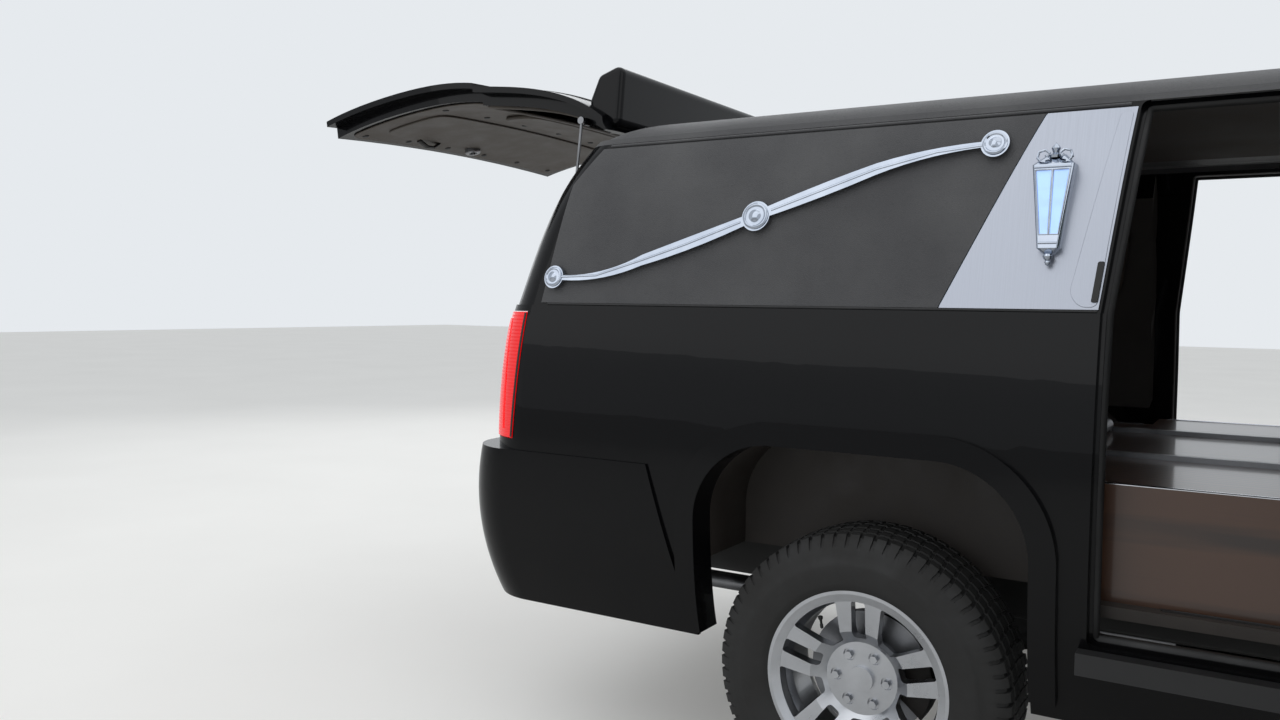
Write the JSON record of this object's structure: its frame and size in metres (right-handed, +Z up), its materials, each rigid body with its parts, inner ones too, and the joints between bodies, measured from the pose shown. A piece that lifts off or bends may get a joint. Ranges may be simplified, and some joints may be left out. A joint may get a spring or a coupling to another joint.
{
  "type": "hearse",
  "caption": "Long black estate hearse with landau bars and coach lamps, its rear doors and liftgate open; wheels roll and steer, doors, hood and liftgate swing.",
  "frame": {"origin": "on the ground at the middle of the parked car's outline, doors and liftgate open", "axes": "+X towards the front of the car, +Y to its left, +Z up"},
  "size_m": [6.5801, 3.9118, 2.1939],
  "materials": {
    "body_paint": "gloss black",
    "chassis_black": "satin black",
    "trim_black": "fine grain",
    "interior_trim": "grained",
    "vinyl": "grained vinyl",
    "brushed_panel": "brushed",
    "chrome": "polished",
    "alloy": "silver lacquer",
    "glass": "tinted",
    "lamp_glass": "frosted",
    "red_lens": "clear red",
    "clear_lens": "clear",
    "tyre": "moulded",
    "deck_board": "lacquered",
    "seat_leather": "soft grain",
    "bare_steel": "machined",
    "cast_iron": "as cast"
  },
  "bodies": {
    "root": {"ladder_frame": "chassis_black", "floor_tub": "interior_trim", "cowl": "trim_black", "rear_quarters": "body_paint", "rear_panel": "body_paint", "door_frames": "body_paint", "roof": "vinyl", "front_fenders": "body_paint", "front_bumper": "body_paint", "grille": "chrome", "headlamps": "clear_lens", "rear_bumper": "body_paint", "tail_lamps": "red_lens", "windscreen": "glass", "landau_panels": "vinyl", "steel_panels": "brushed_panel", "landau_bars": "chrome", "coach_lamp_frames": "chrome", "coach_lamps": "lamp_glass", "casket_deck": "deck_board", "deck_hardware": "bare_steel", "seats": "seat_leather", "dashboard": "trim_black", "engine": "cast_iron", "exhaust": "bare_steel", "fuel_tank": "trim_black", "rear_axle": "chassis_black", "front_suspension": "chassis_black", "running_boards": "trim_black"},
    "hood": {"hood": "body_paint"},
    "liftgate": {"liftgate": "body_paint", "gate_glass": "glass"},
    "strut_cylinder_right": {"strut_cylinder_right": "chassis_black"},
    "strut_rod_right": {"strut_rod_right": "bare_steel"},
    "front_door_right": {"front_door_right": "body_paint", "front_glass_right": "glass"},
    "wheel_front_right": {"tyre_front_right": "tyre", "wheel_front_right": "alloy"},
    "rear_door_right": {"rear_door_right": "body_paint", "rear_glass_right": "glass"},
    "wheel_rear_right": {"tyre_rear_right": "tyre", "wheel_rear_right": "alloy"},
    "knuckle_right": {"knuckle_right": "cast_iron"},
    "strut_cylinder_left": {"strut_cylinder_left": "chassis_black"},
    "strut_rod_left": {"strut_rod_left": "bare_steel"},
    "front_door_left": {"front_door_left": "body_paint", "front_glass_left": "glass"},
    "wheel_front_left": {"tyre_front_left": "tyre", "wheel_front_left": "alloy"},
    "rear_door_left": {"rear_door_left": "body_paint", "rear_glass_left": "glass"},
    "wheel_rear_left": {"tyre_rear_left": "tyre", "wheel_rear_left": "alloy"},
    "knuckle_left": {"knuckle_left": "cast_iron"}
  },
  "joints": [
    {"name": "steer_right", "type": "hinge", "parent": "root", "child": "knuckle_right", "pos_m": [2.29998, -0.79, 0.401], "axis": [0, 0, 1], "range_deg": [-32, 32]},
    {"name": "wheel_front_right_spin", "type": "hinge", "parent": "knuckle_right", "child": "wheel_front_right", "pos_m": [2.29998, -0.872, 0.401], "axis": [0, 1, 0], "continuous": true},
    {"name": "wheel_rear_right_spin", "type": "hinge", "parent": "root", "child": "wheel_rear_right", "pos_m": [-1.00202, -0.872, 0.401], "axis": [0, 1, 0], "continuous": true},
    {"name": "front_door_right_hinge", "type": "hinge", "parent": "root", "child": "front_door_right", "pos_m": [1.63998, -1.006, 1.2], "axis": [0, 0, 1], "range_deg": [0, 68]},
    {"name": "rear_door_right_hinge", "type": "hinge", "parent": "root", "child": "rear_door_right", "pos_m": [0.58798, -1.006, 1.2], "axis": [0, 0, 1], "range_deg": [-68, 0]},
    {"name": "strut_right_pivot", "type": "hinge", "parent": "root", "child": "strut_cylinder_right", "pos_m": [-2.13702, -0.715, 1.48], "axis": [0, 1, 0], "range_deg": [0, 15.1]},
    {"name": "strut_right_slide", "type": "slide", "parent": "strut_cylinder_right", "child": "strut_rod_right", "axis": [0.1022, 0, 0.9948], "range_m": [-0.1588, 0]},
    {"name": "steer_left", "type": "hinge", "parent": "root", "child": "knuckle_left", "pos_m": [2.29998, 0.79, 0.401], "axis": [0, 0, 1], "range_deg": [-32, 32]},
    {"name": "wheel_front_left_spin", "type": "hinge", "parent": "knuckle_left", "child": "wheel_front_left", "pos_m": [2.29998, 0.872, 0.401], "axis": [0, 1, 0], "continuous": true},
    {"name": "wheel_rear_left_spin", "type": "hinge", "parent": "root", "child": "wheel_rear_left", "pos_m": [-1.00202, 0.872, 0.401], "axis": [0, 1, 0], "continuous": true},
    {"name": "front_door_left_hinge", "type": "hinge", "parent": "root", "child": "front_door_left", "pos_m": [1.63998, 1.006, 1.2], "axis": [0, 0, 1], "range_deg": [-68, 0]},
    {"name": "rear_door_left_hinge", "type": "hinge", "parent": "root", "child": "rear_door_left", "pos_m": [0.58798, 1.006, 1.2], "axis": [0, 0, 1], "range_deg": [0, 68]},
    {"name": "strut_left_pivot", "type": "hinge", "parent": "root", "child": "strut_cylinder_left", "pos_m": [-2.13702, 0.715, 1.48], "axis": [0, 1, 0], "range_deg": [0, 15.1]},
    {"name": "strut_left_slide", "type": "slide", "parent": "strut_cylinder_left", "child": "strut_rod_left", "axis": [0.1022, 0, 0.9948], "range_m": [-0.1588, 0]},
    {"name": "liftgate_hinge", "type": "hinge", "parent": "root", "child": "liftgate", "pos_m": [-1.94202, 0, 1.95], "axis": [0, 1, 0], "range_deg": [-81.5, 0]},
    {"name": "hood_hinge", "type": "hinge", "parent": "root", "child": "hood", "pos_m": [1.80098, 0, 1.376], "axis": [0, 1, 0], "range_deg": [-55, 0]}
  ],
  "couplings": [
    {"joint": "strut_right_pivot", "follows": "liftgate_hinge", "ratio": -0.18462},
    {"joint": "strut_right_slide", "follows": "liftgate_hinge", "m_per_rad": 0.11153},
    {"joint": "strut_left_pivot", "follows": "liftgate_hinge", "ratio": -0.18462},
    {"joint": "strut_left_slide", "follows": "liftgate_hinge", "m_per_rad": 0.11153},
    {"joint": "steer_right", "follows": "steer_left", "ratio": 1}
  ]
}
